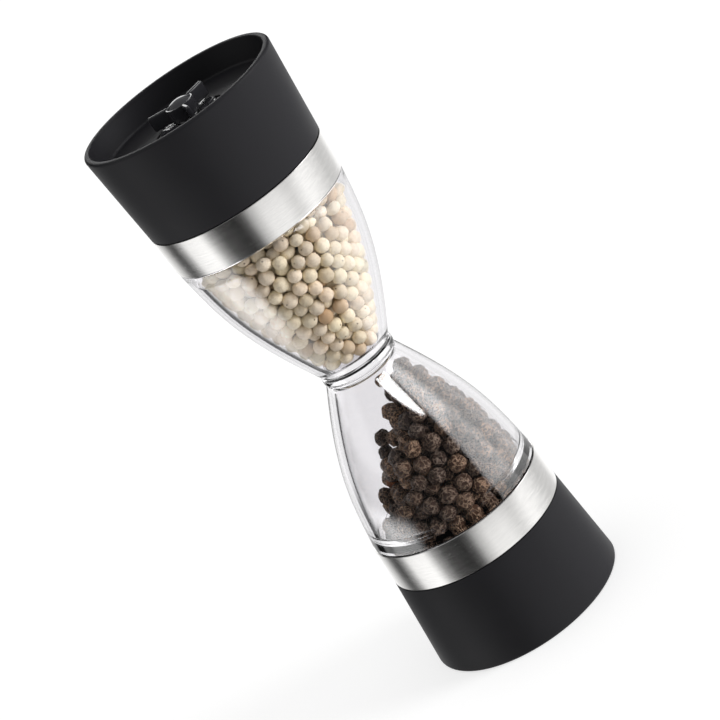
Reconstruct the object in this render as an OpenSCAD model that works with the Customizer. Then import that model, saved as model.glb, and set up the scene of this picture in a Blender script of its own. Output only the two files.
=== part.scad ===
// Double-ended pepper mill: two clear bells joined at a waist, with a grinding head on each end.
// It stands on the lower head. The origin is the middle of the lower rim and +Z is the mill's axis.
// Each head and bell is drawn once, standing on the waist plane, and turned over for the lower half.

/* [Mill] */
// Overall length from rim to rim
mill_length = 190; // [150:1:240]
// Outer radius at the rim of each cup
rim_r = 31.3; // [28.5:0.1:38]
// Outer radius where a cup meets its steel band
band_r = 28.8; // [24:0.1:35]
// Thread pitch of the neck that a head unscrews from
neck_pitch = 4; // [3:0.5:5]
// Height of the thread ridges above their wall
thread_depth = 0.7; // [0.5:0.05:0.9]

/* [Bell] */
// Outer radius of the waist ring
waist_r = 12.1; // [10:0.1:15]
// Height of the waist ring
waist_ring_h = 2.6; // [2:0.1:5]
// Thickness of the closed floor of each bell
bell_floor = 2.4; // [1.5:0.1:4]
// Thickness of the bell's wall
bell_wall = 2.7; // [2:0.1:3.4]

/* [Cup] */
// Height of the cup's outer wall
cup_h = 30; // [25:0.5:38]
// Thickness of the cup's lip and wall
cup_wall = 2; // [1.6:0.1:2.6]
// Depth of the outlet floor below the rim
outlet_depth = 7.9; // [6.5:0.1:11]
// Thickness of the outlet floor
outlet_floor = 2; // [1.5:0.1:3]
// Rounding of the lip's outer edge
lip_round = 1.1; // [0.5:0.1:1.4]

/* [Steel band] */
// Height of the steel band
band_h = 12.2; // [10:0.1:16]
// How much narrower the band is beside the bell than beside the cup, as a radius
band_taper = 0.55; // [0:0.05:0.8]
// Wall thickness of the steel band
band_wall = 0.5; // [0.4:0.1:0.8]

/* [Burrs] */
// Outer radius of the ring burr
ring_burr_r = 13.5; // [11.2:0.1:16.2]
// Height of the ring burr below the outlet floor
ring_burr_h = 11.5; // [9:0.5:14]
// Gap between the burrs at rest, measured across the axis
grind_gap = 0.4; // [0.35:0.05:0.6]
// Teeth around the inner burr
inner_teeth = 12; // [8:1:16]
// Teeth around the ring burr
ring_teeth = 18; // [12:1:24]

/* [Adjusting knob] */
// Diameter of the domed hub
hub_d = 9; // [7.4:0.1:10.4]
// Reach of each wing from the axis
wing_reach = 10.8; // [9:0.1:13.4]
// Thickness of each wing
wing_t = 1.4; // [0.8:0.1:1.8]
// How far the top of the wings lies below the top of the knob
wing_drop = 1; // [0.8:0.1:2.5]
// Number of wings
wings = 3; // [2:1:4]
// Direction of the first wing
wing_angle = 37; // [0:1:119]
// Diameter of the spindle
spindle_d = 4; // [3:0.1:4.8]

/* [Contents] */
// Height of the peppercorns above the floor of their bell
fill_h = 52; // [30:1:66]
// Slope of the black heap from the mill's axis
heap_angle = 35; // [25:1:50]
// Height above the bell's floor at which the slope passes its sideways place
heap_top = 4.5; // [2:0.5:14]
// Sideways place of the slope at that height
heap_lean = 8; // [2:0.5:8.5]

/* [Hidden] */

// Fineness of round surfaces
$fn = 96;
// Gap between pieces that move past each other
gap = 0.3;
// Small gap between pieces that are fixed together
snug = 0.05;
// Overlap of shapes that are joined, and overrun of cutters
eps = 0.2;

// Heights are measured from the waist plane to one rim
half = mill_length / 2;
ring_half = waist_ring_h / 2;
cup_z = half - cup_h;
band_top = cup_z - gap;
band_z = band_top - band_h;
shoulder_z = band_z - gap;

// Deck of the collar, seal and end of the neck, from the cup towards the bell
deck_h = 1.6;
deck_top = band_top - gap;
deck_z = deck_top - deck_h;
seal_h = 1.2;
seal_z = deck_z - gap - seal_h;
neck_top = seal_z - gap;
neck_h = neck_top - shoulder_z;

// Radii that nest from the band inwards: band, collar, thread, neck
band_low_r = band_r - band_taper;
shoulder_r = band_low_r - 0.25;
collar_low_r = band_low_r - band_wall - snug;
collar_top_r = band_r - band_wall - snug;
collar_wall = 1.65;
collar_bore = collar_low_r - collar_wall;
neck_r = collar_bore - gap - thread_depth;
neck_wall = 1.9;
neck_bore = neck_r - neck_wall;

// Thread ridges; they have as many turns as fit between the ends of the neck
ridge_w = 1.1;
neck_end = 1.2;
skirt_end = 1.6;
ridge_turns = (neck_h - neck_end - skirt_end) / neck_pitch - 0.5;
neck_ridge_z = neck_top - neck_end - neck_pitch * ridge_turns;
collar_ridge_z = neck_ridge_z - neck_pitch / 2;

// Bell: outer curve from the foot to the shoulder, inner curve offset by the wall
foot_r = waist_r - 0.4;
foot_h = 1.1;
bell_base_r = waist_r + 0.1;
floor_z = ring_half + bell_floor;
bell_steps = 32;
curve_z0 = ring_half + foot_h;
curve_len = shoulder_z - curve_z0;
leave_angle = 27.7;
arrive_angle = 7.7;
leave_pull = 0.55;
arrive_pull = 0.32;

// Hub of the collar, its bead, and the clip that the cup hangs on
clip_w = 4.9;
clip_h = 2.2;
clip_z = deck_top + 1.2;
hub_r = band_r - cup_wall - clip_w - gap;
hub_wall = 2;
hub_bore = hub_r - hub_wall;
hub_ledge = 1.2;
bead_z = clip_z + clip_h + gap;
bead_h = 1.4;
bead_r = hub_r + 1.6;
hub_top = bead_z + bead_h;

// Feed bridge inside the collar's hub
bridge_h = 3.4;
bridge_z = deck_z + hub_ledge;
bridge_top = bridge_z + bridge_h;
bridge_ring = 1.8;
boss_r = 6;
arm_w = 3;
arms = 3;

// Outlet floor and ring burr; the bore narrows from the feed mouth to the grinding cone
floor_top = half - outlet_depth;
floor_under = floor_top - outlet_floor;
burr_lip = 1.9;
outlet_r = ring_burr_r - burr_lip;
burr_under = floor_under - ring_burr_h;
ring_neck_r = outlet_r - 0.2;
ring_neck_top = floor_top - 0.4;
sleeve_wall = 1.8;
feed_h = ring_burr_h * 0.6;
feed_mouth_r = ring_burr_r - 1.3;
ring_groove = 0.9;

// Inner burr: a coarse cone that feeds a fine one; the two burrs have the same slope
burr_slope = tan(9);
inner_r_top = outlet_r - 2;
inner_top = floor_top + 1.3;
inner_under = burr_under + 1.5;
inner_waist_z = burr_under + feed_h;
inner_r_under = inner_r_top - 4;
tooth_w = 1.5;
tooth_cut = 1.3;
function inner_r(z) = inner_r_top - (inner_top - z) * burr_slope;

// Spindle, spring and its pocket, washer
spindle_r = spindle_d / 2;
run = 0.05;
spring_r = spindle_r + 1.3;
spring_wire = 0.9;
spring_turns = 5;
spring_pocket_r = spring_r + spring_wire / 2 + gap;
spring_pocket_z = inner_under + 2.6;
washer_h = 0.5;
washer_r = spindle_r + 1.4;
spindle_head_h = 2.4;
spindle_head_d = 8;

// Adjusting knob
knob_z = inner_top + washer_h;
knob_top = half - 0.5;
dome_rise = 0.6;
hub_knob_r = hub_d / 2;
wing_top = knob_top - wing_drop;
wing_low = inner_top + 0.4;
wing_h = wing_top - wing_low;
wing_root = 0.8;
knob_bore_top = knob_top - dome_rise - 0.3;
wind_down = 0.7;
spindle_top = knob_bore_top - wind_down - gap;

// Contents
fill_gap = gap;
fill_floor = floor_z + fill_gap;

// Outer radius of the cup at height z above the waist
function cup_outer(z) = band_r + (rim_r - band_r) * (z - cup_z) / cup_h;

// Point at share t along a cubic curve
function curve(t, p0, p1, p2, p3) =
    p0 * pow(1 - t, 3) + p1 * 3 * t * pow(1 - t, 2) + p2 * 3 * t * t * (1 - t) + p3 * pow(t, 3);
function polar(len, angle) = [len * sin(angle), len * cos(angle)];

bell_p0 = [bell_base_r, curve_z0];
bell_p3 = [shoulder_r, shoulder_z];
bell_p1 = bell_p0 + polar(curve_len * leave_pull, leave_angle);
bell_p2 = bell_p3 - polar(curve_len * arrive_pull, arrive_angle);
function bell_point(t) = curve(t, bell_p0, bell_p1, bell_p2, bell_p3);

// Direction of the bell's outer curve, as [radius, height], and the point a depth inside it
function bell_run(t) = bell_point(min(t + 0.01, 1)) - bell_point(max(t - 0.01, 0));
function inside_of(t, depth) =
    bell_point(t) + depth * [-bell_run(t)[1], bell_run(t)[0]] / norm(bell_run(t));

// Points of the inner wall, a depth inside the outer curve and above a floor, then a round floor corner
floor_corner = 1.8;
wall_end = 0.9;
function inner_wall(depth, z) =
    [for (i = [0:bell_steps])
        let (p = inside_of(wall_end * i / bell_steps, depth)) if (p[1] > z + floor_corner) p];
corner_steps = 6;
corner_turn = 90 - leave_angle;
function corner(wall, z) =
    let (end_z = z + floor_corner * (1 - cos(corner_turn)),
         end_r = wall[0][0] - (wall[0][1] - end_z) * tan(leave_angle))
    [for (i = [0:corner_steps])
        let (a = corner_turn * i / corner_steps)
        [end_r - floor_corner * (sin(corner_turn) - sin(a)), z + floor_corner * (1 - cos(a))]];

// Turns a thing drawn on the waist plane into the upper or the lower half of the mill
module half_mill(lower) {
    translate([0, 0, half])
        rotate([lower ? 180 : 0, 0, 0])
            children();
}

// Flat ring between two radii
module ring(outer, inner, z, h) {
    translate([0, 0, z])
        difference() {
            cylinder(r = outer, h = h);
            translate([0, 0, -eps])
                cylinder(r = inner, h = h + 2 * eps);
        }
}

// Helical ridge; the root radius is buried in its wall and the crest stands in or out of it
module thread_ridge(root, crest, z, turns) {
    steps = 40;
    root_half = ridge_w / 2;
    crest_half = ridge_w / 4;
    function at(i, r, dz) =
        let (a = 360 * turns * i / steps)
        [r * cos(a), r * sin(a), z + neck_pitch * turns * i / steps + dz];
    corners = [for (i = [0:steps])
        each [at(i, root, -root_half), at(i, crest, -crest_half),
              at(i, crest, crest_half), at(i, root, root_half)]];
    sides = [for (i = [0:steps - 1]) for (k = [0:3])
        let (a = 4 * i + k, b = 4 * i + (k + 1) % 4)
        crest > root ? [a, b, b + 4, a + 4] : [a, a + 4, b + 4, b]];
    last = 4 * steps;
    near_end = crest > root ? [3, 2, 1, 0] : [0, 1, 2, 3];
    far_end = crest > root ? [last, last + 1, last + 2, last + 3] : [last + 3, last + 2, last + 1, last];
    polyhedron(points = corners, faces = concat(sides, [near_end, far_end]), convexity = 6);
}

// Clear bell with a rounded foot, closed floor, shoulder and neck
module bell() {
    outer = [for (i = [0:bell_steps]) bell_point(i / bell_steps)];
    inner = inner_wall(bell_wall, floor_z);
    round_floor = corner(inner, floor_z);
    color([0.9, 0.94, 0.95, 0.35]) {
        rotate_extrude()
            polygon(concat(
                [[0, ring_half], [foot_r, ring_half], [foot_r, curve_z0 - foot_h / 2]],
                outer,
                [[neck_r, shoulder_z], [neck_r, neck_top - 0.4], [neck_r - 0.4, neck_top],
                 [neck_bore, neck_top], [neck_bore, shoulder_z + 0.5]],
                [for (i = [len(inner) - 1:-1:0]) inner[i]],
                [for (i = [len(round_floor) - 1:-1:0]) round_floor[i]],
                [[0, floor_z]]));
        thread_ridge(neck_r - eps, neck_r + thread_depth, neck_ridge_z, ridge_turns);
    }
}

// Clear ring that both feet are bonded to
module waist_ring() {
    edge = 0.6;
    color([0.9, 0.94, 0.95, 0.35])
        translate([0, 0, half])
            rotate_extrude()
                polygon([[0, -ring_half], [waist_r - edge, -ring_half], [waist_r, edge - ring_half],
                         [waist_r, ring_half - edge], [waist_r - edge, ring_half], [0, ring_half]]);
}

// Space inside a bell, a gap clear of its walls, up to a height above the floor
module chamber(top) {
    wall = inner_wall(bell_wall + fill_gap, fill_floor);
    rotate_extrude()
        intersection() {
            polygon(concat(
                [[0, fill_floor]],
                corner(wall, fill_floor),
                wall,
                [[neck_bore - fill_gap, shoulder_z], [neck_bore - fill_gap, neck_top], [0, neck_top]]));
            translate([0, fill_floor])
                square([shoulder_r, top]);
        }
}

module white_peppercorns() {
    color([0.86, 0.79, 0.66])
        half_mill(false)
            chamber(fill_h);
}

// Heap that leans on the wall at +X, with its slope down towards the outlet
module black_peppercorns() {
    color([0.16, 0.12, 0.1])
        half_mill(true)
            intersection() {
                chamber(fill_h);
                translate([heap_lean, 0, floor_z + heap_top])
                    rotate([0, -heap_angle, 0])
                        translate([0, -shoulder_r, -half])
                            cube([half, 2 * shoulder_r, 2 * half]);
            }
}

// Collar: threaded skirt, deck over the neck, and a hub with a bead that the cup's clip runs under
module collar() {
    color([0.07, 0.07, 0.075]) {
        rotate_extrude()
            polygon([[collar_bore, band_z], [collar_low_r, band_z], [collar_top_r, deck_top],
                     [hub_r, deck_top], [hub_r, bead_z], [bead_r, bead_z + 0.3],
                     [bead_r, hub_top - 0.5], [bead_r - 0.5, hub_top], [hub_bore, hub_top],
                     [hub_bore, bridge_z], [hub_bore - hub_ledge, bridge_z],
                     [hub_bore - hub_ledge, deck_z], [collar_bore, deck_z]]);
        thread_ridge(collar_bore + eps, collar_bore - thread_depth, collar_ridge_z, ridge_turns);
    }
}

// Slightly conical sleeve of brushed steel
module steel_band() {
    color([0.74, 0.74, 0.75])
        rotate_extrude()
            polygon([[band_low_r - band_wall, band_z], [band_low_r, band_z],
                     [band_r, band_top], [band_r - band_wall, band_top]]);
}

// Flat seal between the neck's end and the collar's deck
module seal() {
    color([0.8, 0.8, 0.78])
        ring(neck_r, neck_bore + 0.3, seal_z, seal_h);
}

// Bridge with arms that carries the spindle and lets the corns through
module feed_bridge() {
    color([0.07, 0.07, 0.075])
        difference() {
            union() {
                ring(hub_bore - snug, hub_bore - bridge_ring, bridge_z, bridge_h);
                translate([0, 0, bridge_z])
                    cylinder(r = boss_r, h = bridge_h);
                for (i = [0:arms - 1])
                    rotate([0, 0, 360 / arms * i])
                        translate([boss_r - 1, -arm_w / 2, bridge_z])
                            cube([hub_bore - bridge_ring - boss_r + 2, arm_w, bridge_h]);
            }
            translate([0, 0, bridge_z - eps])
                cylinder(r = spindle_r + run, h = bridge_h + 2 * eps);
        }
}

// Steel screw with a hexagonal head inside the bell
module spindle() {
    color([0.7, 0.7, 0.72]) {
        translate([0, 0, bridge_z - spindle_head_h])
            cylinder(d = spindle_head_d, h = spindle_head_h, $fn = 6);
        translate([0, 0, bridge_z - eps])
            cylinder(r = spindle_r, h = spindle_top - bridge_z + eps);
    }
}

// Coil spring between the bridge and the pocket of the inner burr
module spring() {
    sides = 8;
    per_turn = 16;
    rings = spring_turns * per_turn;
    wire = spring_wire / 2;
    low = bridge_top + wire + snug;
    rise = spring_pocket_z - bridge_top - spring_wire - 2 * snug;
    function coil(i, k) =
        let (a = 360 * i / per_turn, b = 360 * k / sides, r = spring_r + wire * cos(b))
        [r * cos(a), r * sin(a), low + rise * i / rings + wire * sin(b)];
    last = sides * rings;
    color([0.7, 0.7, 0.72])
        polyhedron(
            points = [for (i = [0:rings]) for (k = [0:sides - 1]) coil(i, k)],
            faces = concat(
                [[for (k = [0:sides - 1]) k]],
                [for (i = [0:rings - 1]) for (k = [0:sides - 1])
                    let (a = sides * i + k, b = sides * i + (k + 1) % sides)
                    [a, a + sides, b + sides, b]],
                [[for (k = [sides - 1:-1:0]) last + k]]),
            convexity = 10);
}

// Inner cone burr with teeth around its rim, a bore for the spindle and a pocket for the spring
module male_burr() {
    color([0.05, 0.05, 0.055])
        difference() {
            rotate_extrude()
                polygon([[0, inner_under], [inner_r_under, inner_under],
                         [inner_r(inner_waist_z), inner_waist_z], [inner_r_top, inner_top - 0.4],
                         [inner_r_top - 0.4, inner_top], [0, inner_top]]);
            for (i = [0:inner_teeth - 1])
                rotate([0, 0, 360 / inner_teeth * i])
                    translate([inner_r_top - tooth_cut, -tooth_w / 2, inner_waist_z + 1])
                        cube([tooth_cut + 1, tooth_w, inner_top - inner_waist_z]);
            for (i = [0:inner_teeth / 2 - 1])
                rotate([0, 0, 720 / inner_teeth * (i + 0.5)])
                    translate([inner_r_under - 0.6, -tooth_w / 2, inner_under - eps])
                        cube([tooth_cut + 3, tooth_w, inner_waist_z - inner_under]);
            translate([0, 0, inner_under - eps])
                cylinder(r = spindle_r + run, h = inner_top - inner_under + 2 * eps);
            translate([0, 0, inner_under - eps])
                cylinder(r = spring_pocket_r, h = spring_pocket_z - inner_under + eps);
        }
}

module thrust_washer() {
    color([0.75, 0.75, 0.77])
        ring(washer_r, spindle_r + run, inner_top, washer_h);
}

// Domed hub with wings and a blind bore for the spindle
module adjuster_knob() {
    dome_r = (pow(hub_knob_r, 2) + pow(dome_rise, 2)) / (2 * dome_rise);
    dome_steps = 8;
    dome_step = asin(hub_knob_r / dome_r) / dome_steps;
    tip_z = knob_top - dome_r * (1 - cos(dome_step));
    color([0.04, 0.04, 0.045])
        difference() {
            union() {
                rotate_extrude()
                    polygon(concat(
                        [[0, knob_z], [hub_knob_r, knob_z]],
                        [for (i = [dome_steps:-1:1])
                            [dome_r * sin(dome_step * i), knob_top - dome_r * (1 - cos(dome_step * i))]],
                        [[0, tip_z]]));
                for (i = [0:wings - 1])
                    rotate([0, 0, wing_angle + 360 / wings * i])
                        translate([hub_knob_r - wing_root, -wing_t / 2, wing_low])
                            wing();
            }
            translate([0, 0, knob_z - wing_h])
                cylinder(r = spindle_r + run, h = knob_bore_top - knob_z + wing_h);
        }
}

// One wing, with a round outer edge
module wing() {
    reach = wing_reach - hub_knob_r + wing_root - wing_t / 2;
    cube([reach, wing_t, wing_h]);
    translate([reach, wing_t / 2, 0])
        cylinder(d = wing_t, h = wing_h);
}

// Cup: flared skirt, lip, outlet floor, sleeve for the ring burr and a rib above the clip
module cup() {
    lip_z = half - lip_round;
    lip_x = cup_outer(lip_z) - lip_round;
    inner_edge = 0.3;
    rib_h = 1.2;
    rib_z = clip_z + clip_h;
    function skirt(z) = cup_outer(z) - cup_wall;
    color([0.1, 0.1, 0.105])
        rotate_extrude()
            polygon(concat(
                [[skirt(cup_z), cup_z], [cup_outer(cup_z), cup_z]],
                [for (a = [0:10:90]) [lip_x + lip_round * cos(a), lip_z + lip_round * sin(a)]],
                [[skirt(half) + inner_edge, half], [skirt(half), half - inner_edge],
                 [skirt(floor_top) - 0.1, floor_top + 0.6], [skirt(floor_top) - 0.7, floor_top],
                 [outlet_r, floor_top], [outlet_r, floor_under],
                 [ring_burr_r + snug, floor_under], [ring_burr_r + snug, burr_under],
                 [ring_burr_r + sleeve_wall, burr_under], [ring_burr_r + sleeve_wall, floor_under],
                 [skirt(floor_under), floor_under], [skirt(rib_z + rib_h), rib_z + rib_h],
                 [bead_r + 2 * gap, rib_z + rib_h], [bead_r + 2 * gap, rib_z],
                 [skirt(rib_z), rib_z]]));
}

// Outer burr with a wide feed mouth, a grinding cone and teeth along its bore
module ring_burr() {
    bore_at_feed = inner_r(burr_under + feed_h) + grind_gap;
    bore_at_top = inner_r(ring_neck_top) + grind_gap;
    color([0.05, 0.05, 0.055])
        difference() {
            rotate_extrude()
                polygon([[feed_mouth_r, burr_under], [ring_burr_r, burr_under],
                         [ring_burr_r, floor_under - snug], [ring_neck_r, floor_under - snug],
                         [ring_neck_r, ring_neck_top], [bore_at_top, ring_neck_top],
                         [bore_at_feed, burr_under + feed_h]]);
            for (i = [0:ring_teeth - 1])
                rotate([0, 0, 360 / ring_teeth * i])
                    translate([0, -0.5, burr_under - eps])
                        cube([bore_at_top + ring_groove, 1, half]);
        }
}

// Ring under the collar's bead that holds the cup
module cup_clip() {
    color([0.07, 0.07, 0.075])
        translate([0, 0, clip_z])
            difference() {
                cylinder(r1 = cup_outer(clip_z) - cup_wall - snug,
                         r2 = cup_outer(clip_z + clip_h) - cup_wall - snug, h = clip_h - snug);
                translate([0, 0, -eps])
                    cylinder(r = hub_r + gap, h = clip_h + 2 * eps);
            }
}

half_mill(false) bell();  // upper_bell
half_mill(true) bell();  // lower_bell
waist_ring();
white_peppercorns();
black_peppercorns();
half_mill(false) collar();  // upper_collar
half_mill(true) collar();  // lower_collar
half_mill(false) steel_band();  // upper_steel_band
half_mill(true) steel_band();  // lower_steel_band
half_mill(false) seal();  // upper_seal
half_mill(true) seal();  // lower_seal
half_mill(false) feed_bridge();  // upper_feed_bridge
half_mill(true) feed_bridge();  // lower_feed_bridge
half_mill(false) spindle();  // upper_spindle
half_mill(true) spindle();  // lower_spindle
half_mill(false) spring();  // upper_spring
half_mill(true) spring();  // lower_spring
half_mill(false) male_burr();  // upper_male_burr
half_mill(true) male_burr();  // lower_male_burr
half_mill(false) thrust_washer();  // upper_thrust_washer
half_mill(true) thrust_washer();  // lower_thrust_washer
half_mill(false) adjuster_knob();  // upper_adjuster_knob
half_mill(true) adjuster_knob();  // lower_adjuster_knob
half_mill(false) cup();  // upper_cup
half_mill(true) cup();  // lower_cup
half_mill(false) ring_burr();  // upper_ring_burr
half_mill(true) ring_burr();  // lower_ring_burr
half_mill(false) cup_clip();  // upper_cup_clip
half_mill(true) cup_clip();  // lower_cup_clip
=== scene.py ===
import math

import bmesh
import bpy
import numpy as np
from bpy.props import FloatProperty, FloatVectorProperty, IntProperty, PointerProperty
from mathutils import Euler, Matrix, Vector, noise


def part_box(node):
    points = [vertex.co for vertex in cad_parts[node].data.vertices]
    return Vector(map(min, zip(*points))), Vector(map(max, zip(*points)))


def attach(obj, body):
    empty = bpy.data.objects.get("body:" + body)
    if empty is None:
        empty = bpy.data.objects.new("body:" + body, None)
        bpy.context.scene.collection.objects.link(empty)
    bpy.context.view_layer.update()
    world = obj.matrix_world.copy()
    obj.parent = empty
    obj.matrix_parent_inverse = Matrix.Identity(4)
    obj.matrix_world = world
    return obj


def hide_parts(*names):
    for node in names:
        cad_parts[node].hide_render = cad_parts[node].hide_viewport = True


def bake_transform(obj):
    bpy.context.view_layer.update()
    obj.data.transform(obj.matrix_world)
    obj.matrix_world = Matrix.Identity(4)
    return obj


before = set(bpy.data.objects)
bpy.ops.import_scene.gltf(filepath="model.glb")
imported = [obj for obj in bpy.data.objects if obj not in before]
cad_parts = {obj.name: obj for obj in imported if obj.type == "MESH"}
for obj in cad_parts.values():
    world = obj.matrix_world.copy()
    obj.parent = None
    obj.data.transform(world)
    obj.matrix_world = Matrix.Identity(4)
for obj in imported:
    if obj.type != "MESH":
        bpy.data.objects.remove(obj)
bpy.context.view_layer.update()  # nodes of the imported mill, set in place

bl_info = {
    "name": "Double-ended pepper mill",
    "version": (1, 0, 0),
    "blender": (4, 5, 0),
    "location": "3D View > Sidebar > Pepper mill",
    "description": "Models and finishes a pepper mill with two clear bells and two grinding heads",
    "category": "Object",
}

MM = 0.001
SIDES = ("upper", "lower")
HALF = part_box("upper_cup")[1][2] / 2

# Facets of round pieces, the angle past which an edge stays sharp, the distance at which points
# merge, and the facets of a rounded corner
ROUND_STEPS = 144
SHARP_EDGE = math.radians(32)
MERGE = 1e-6
CORNER_STEPS = 5

# Camera: how far it looks down, its roll, its distance from the middle of the mill, and its lens
CAMERA_ELEVATION = math.radians(19.62)
CAMERA_ROLL = math.radians(34.887)
CAMERA_DISTANCE = 0.9143
CAMERA_LENS = 156.93
CAMERA_SHIFT = (0.0042, -0.0020)
CAMERA_CLIP = (0.05, 50.0)


# ---- Sizes and colours ----

def length(name, description, millimetres):
    return FloatProperty(name=name, description=description, default=millimetres * MM,
                         unit="LENGTH", precision=5)


def colour(name, description, value):
    return FloatVectorProperty(name=name, description=description, default=value, subtype="COLOR",
                               size=3, min=0.0, max=1.0)


class MillSizes(bpy.types.PropertyGroup):
    ring_height: length("Waist ring height", "Height of the clear ring between the bells", 2.6)
    ring_radius: length("Waist ring radius", "Outer radius of the clear ring", 12.1)
    foot_height: length("Foot height", "Height of the narrow foot of a bell", 1.1)
    bell_floor: length("Bell floor", "Thickness of the closed end of a bell", 2.4)
    bell_wall: length("Bell wall", "Thickness of the wall of a bell", 2.7)
    shoulder_radius: length("Shoulder radius", "Radius of a bell beside its steel band", 28.0)
    neck_radius: length("Neck radius", "Radius of the neck inside the collar", 25.05)
    neck_wall: length("Neck wall", "Thickness of the neck", 1.9)
    band_wall: length("Band wall", "Thickness of the steel band", 0.5)
    cup_wall: length("Cup wall", "Thickness of the cup's lip", 2.0)
    lip_round: length("Lip rounding", "Rounding of the lip's outer edge", 1.1)
    outlet_depth: length("Outlet depth", "Depth of the floor of the open end", 7.9)
    outlet_floor: length("Outlet floor", "Thickness of the floor of the open end", 2.0)
    knob_width: length("Knob width", "Width of the domed hub", 9.0)
    wing_width: length("Wing thickness", "Thickness of a wing of the knob", 1.4)
    wing_reach: length("Wing reach", "Distance of a wing's tip from the axis", 10.8)
    wing_drop: length("Wing drop", "How far the wings lie below the top of the knob", 1.0)


class MillColours(bpy.types.PropertyGroup):
    soft_black: colour("Soft black", "Soft-touch plastic of the cups", (0.0085, 0.0083, 0.0100))
    collar_black: colour("Collar black", "Satin plastic inside a head", (0.014, 0.014, 0.015))
    gloss_black: colour("Gloss black", "Glossy plastic of knobs and burrs", (0.022, 0.022, 0.025))
    steel: colour("Steel", "Brushed steel of the bands", (0.80, 0.79, 0.775))
    clear: colour("Clear", "Tint of the bells", (0.945, 0.935, 0.950))
    silicone: colour("Silicone", "Seal between neck and collar", (0.62, 0.62, 0.58))
    white_corn: colour("White pepper", "Pale skin of the white peppercorns", (0.93, 0.83, 0.64))
    tan_corn: colour("Tan pepper", "Darkest of the white peppercorns", (0.60, 0.42, 0.24))
    # Crest colour of the black peppercorns: partly their own paler skin and partly a painted
    # highlight on the raised crests.
    black_corn: colour("Black pepper", "Crests of the black peppercorns", (0.90, 0.67, 0.49))
    black_fold: colour("Black folds", "Folds of the black peppercorns", (0.078, 0.046, 0.030))
    red_corn: colour("Red pepper", "The few reddish corns among the black ones", (0.42, 0.13, 0.04))


class CornSizes(bpy.types.PropertyGroup):
    white_size: length("White corn", "Diameter of a white peppercorn", 4.4)
    black_size: length("Black corn", "Diameter of a black peppercorn", 5.3)
    size_spread: FloatProperty(
        name="Size spread", description="Share by which corns differ in size",
        default=0.07, min=0.0, max=0.3, subtype="FACTOR")
    packing: FloatProperty(
        name="Packing", description="Share of the chamber that the corns fill",
        default=0.585, min=0.3, max=0.62, subtype="FACTOR")
    seed: IntProperty(name="Seed", description="Start of the random draws", default=11)


# ---- Shapes ----

def side_matrix(side):
    """Place of a half of the mill that is drawn upright from the waist plane."""
    turn = math.pi if side == "lower" else 0.0
    return Matrix.Translation((0, 0, HALF)) @ Matrix.Rotation(turn, 4, "X")


def rounded(outline):
    """Points of an outline of (radius, height) corners, with arcs where a rounding follows them."""
    points = []
    count = len(outline)
    for i, (r, z, *rounding) in enumerate(outline):
        here = Vector((r, z))
        if not rounding:
            points.append(here)
            continue
        before = Vector(outline[i - 1][:2]) - here
        after = Vector(outline[(i + 1) % count][:2]) - here
        half_angle = before.angle(after) / 2
        most = 0.49 * min(before.length, after.length)
        reach = min(rounding[0] / math.tan(half_angle), most)
        radius = reach * math.tan(half_angle)
        centre = here + (before.normalized() + after.normalized()).normalized() * (
            radius / math.sin(half_angle))
        start = here + before.normalized() * reach - centre
        end = here + after.normalized() * reach - centre
        turn = math.atan2(start.x * end.y - start.y * end.x, start.dot(end))
        for k in range(CORNER_STEPS + 1):
            points.append(centre + Matrix.Rotation(turn * k / CORNER_STEPS, 2) @ start)
    return points


def turned(outline, steps=ROUND_STEPS, loop=True):
    """A bmesh of an outline of (radius, height) points turned round the mill's axis."""
    bm = bmesh.new()
    ring = [bm.verts.new((p[0], 0.0, p[1])) for p in outline]
    pairs = list(zip(ring, ring[1:])) + ([(ring[-1], ring[0])] if loop else [])
    edges = [bm.edges.new(pair) for pair in pairs]
    bmesh.ops.spin(bm, geom=ring + edges, axis=(0, 0, 1), angle=2 * math.pi, steps=steps,
                   use_merge=True)
    bmesh.ops.remove_doubles(bm, verts=bm.verts, dist=MERGE)
    bmesh.ops.recalc_face_normals(bm, faces=bm.faces)
    return bm


def object_of(bm, name, material):
    """Object of a bmesh with one material, linked to the scene."""
    mesh = bpy.data.meshes.new(name)
    bm.to_mesh(mesh)
    bm.free()
    mesh.materials.append(material)
    made = bpy.data.objects.new(name, mesh)
    bpy.context.scene.collection.objects.link(made)
    return made


def finished(bm, name, side, material, body, nodes):
    """Object of a bmesh, set in its half of the mill; it rides on a body if one is given."""
    bmesh.ops.transform(bm, matrix=side_matrix(side), verts=bm.verts)
    for face in bm.faces:
        face.smooth = True
    for edge in bm.edges:
        edge.smooth = not edge.is_manifold or edge.calc_face_angle() < SHARP_EDGE
    piece = object_of(bm, name, material)
    if body:
        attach(piece, body)
    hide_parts(*nodes)
    return piece


def local_height(node, end):
    """Height above the waist plane of an upper node's low (0) or high (1) end."""
    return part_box(node)[end][2] - HALF


# ---- Materials ----

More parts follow.
